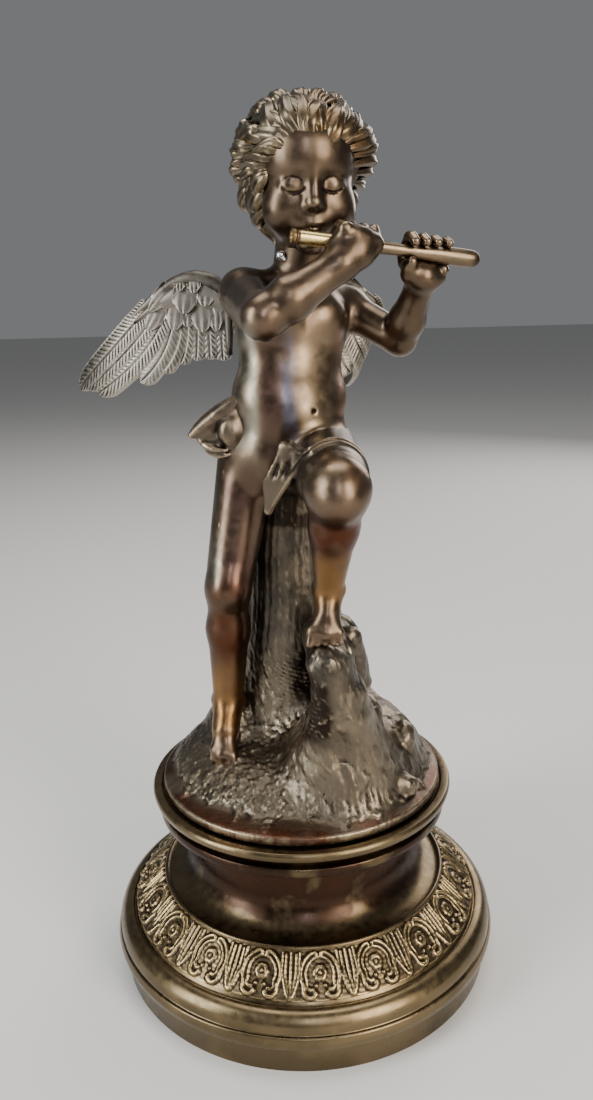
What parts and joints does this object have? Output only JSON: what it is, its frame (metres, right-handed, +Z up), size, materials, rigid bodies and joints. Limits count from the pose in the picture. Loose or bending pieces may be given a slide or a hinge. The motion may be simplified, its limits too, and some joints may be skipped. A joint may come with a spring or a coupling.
{
  "type": "bronze cherub statue",
  "caption": "Winged cherub playing a pipe, one foot raised on rocks by a tree stump, draped at the hips, on a turned round pedestal with a moulded scroll band.",
  "frame": {"origin": "centre of the pedestal's underside, on the axis of the turned base", "axes": "+Z up, -Y towards the viewer who faces the figure, +X to that viewer's right"},
  "size_m": [0.1269, 0.1198, 0.2557],
  "materials": {
    "pedestal_bronze": "dark brown patina rubbed to gold on the mouldings",
    "figure_bronze": "polished dark brown patina",
    "wing_bronze": "grey brown patina",
    "flute_brass": "brown patina over brass"
  },
  "bodies": {
    "root": {"pedestal": "pedestal_bronze", "figure": "figure_bronze", "right_wing": "wing_bronze", "left_wing": "wing_bronze", "flute": "flute_brass"}
  },
  "joints": []
}
